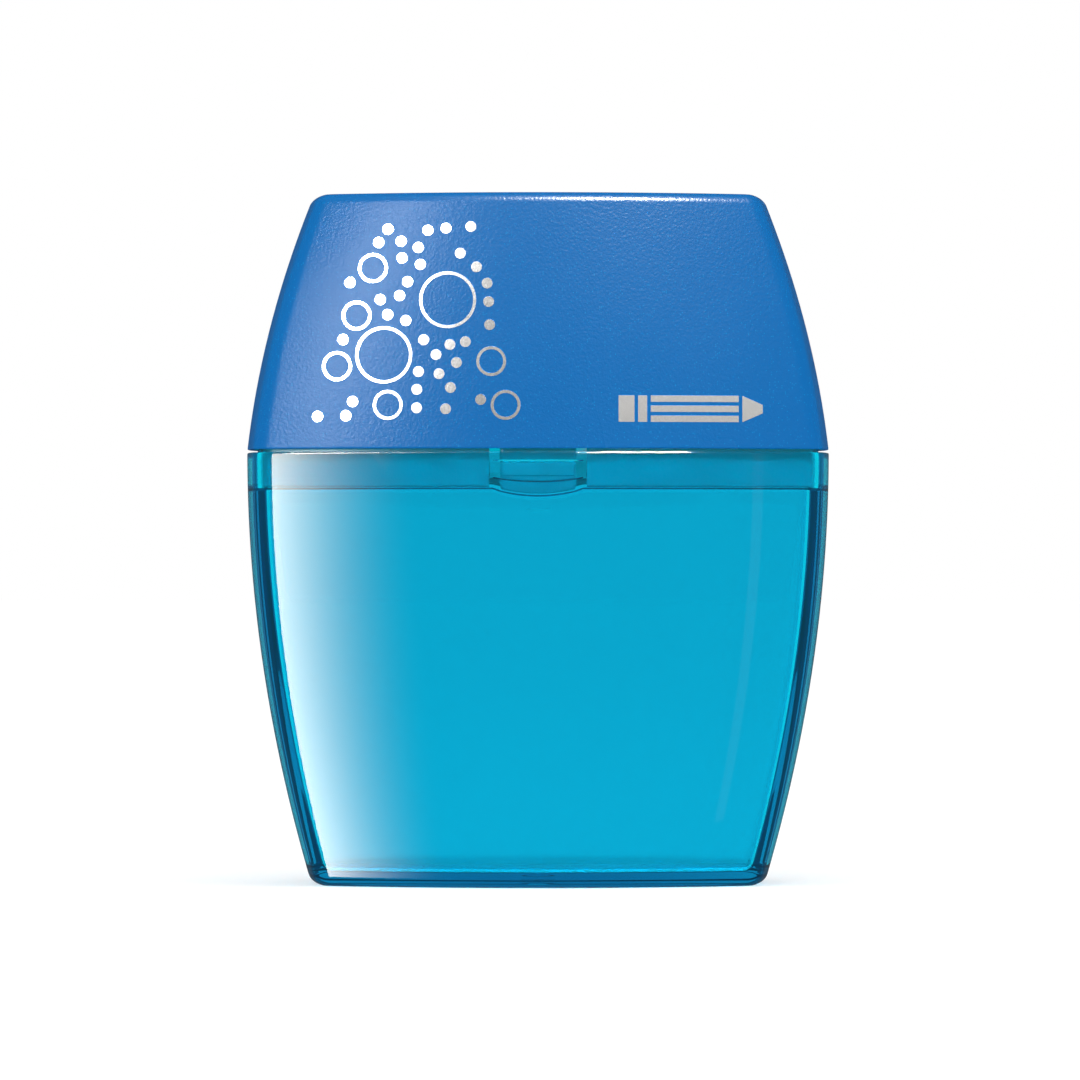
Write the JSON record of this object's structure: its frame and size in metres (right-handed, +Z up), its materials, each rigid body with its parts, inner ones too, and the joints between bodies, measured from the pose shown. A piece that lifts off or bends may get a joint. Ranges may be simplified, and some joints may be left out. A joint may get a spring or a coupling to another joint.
{
  "type": "canister pencil sharpener",
  "caption": "Pencil sharpener for two pencil sizes, with a barrel-shaped canister: an opaque cap that holds the cutter, on a see-through container for shavings.",
  "frame": {"origin": "middle of the face that the container stands on", "axes": "+Z up, the width along X, the printed front face towards -Y"},
  "size_m": [0.056, 0.03, 0.066],
  "materials": {
    "clear_turquoise": "clear tinted plastic, polished",
    "satin_blue": "satin pearlescent moulded plastic, fine grain",
    "teal_nylon": "teal nylon, satin",
    "cast_metal": "machined light alloy",
    "blade_steel": "ground steel",
    "screw_brass": "turned",
    "silver_foil": "hot-stamped silver foil"
  },
  "bodies": {
    "container": {"container": "clear_turquoise"},
    "head": {"cap_shell": "satin_blue", "carrier": "teal_nylon", "sharpener_body": "cast_metal", "large_blade": "blade_steel", "large_blade_screw": "screw_brass", "small_blade": "blade_steel", "small_blade_screw": "screw_brass"},
    "front_latch": {"front_latch_tongue": "teal_nylon"},
    "back_latch": {"back_latch_tongue": "teal_nylon"}
  },
  "joints": [
    {"name": "head_pull", "type": "slide", "parent": "container", "child": "head", "axis": [0, 0, 1], "range_m": [0, 0.04]},
    {"name": "front_latch_bend", "type": "hinge", "parent": "head", "child": "front_latch", "pos_m": [0, -0.0133, 0.04215], "axis": [1, 0, 0], "range_deg": [0, 6], "stiffness_Nm_per_rad": 0.05},
    {"name": "back_latch_bend", "type": "hinge", "parent": "head", "child": "back_latch", "pos_m": [0, 0.0133, 0.04215], "axis": [-1, 0, 0], "range_deg": [0, 6], "stiffness_Nm_per_rad": 0.05}
  ]
}
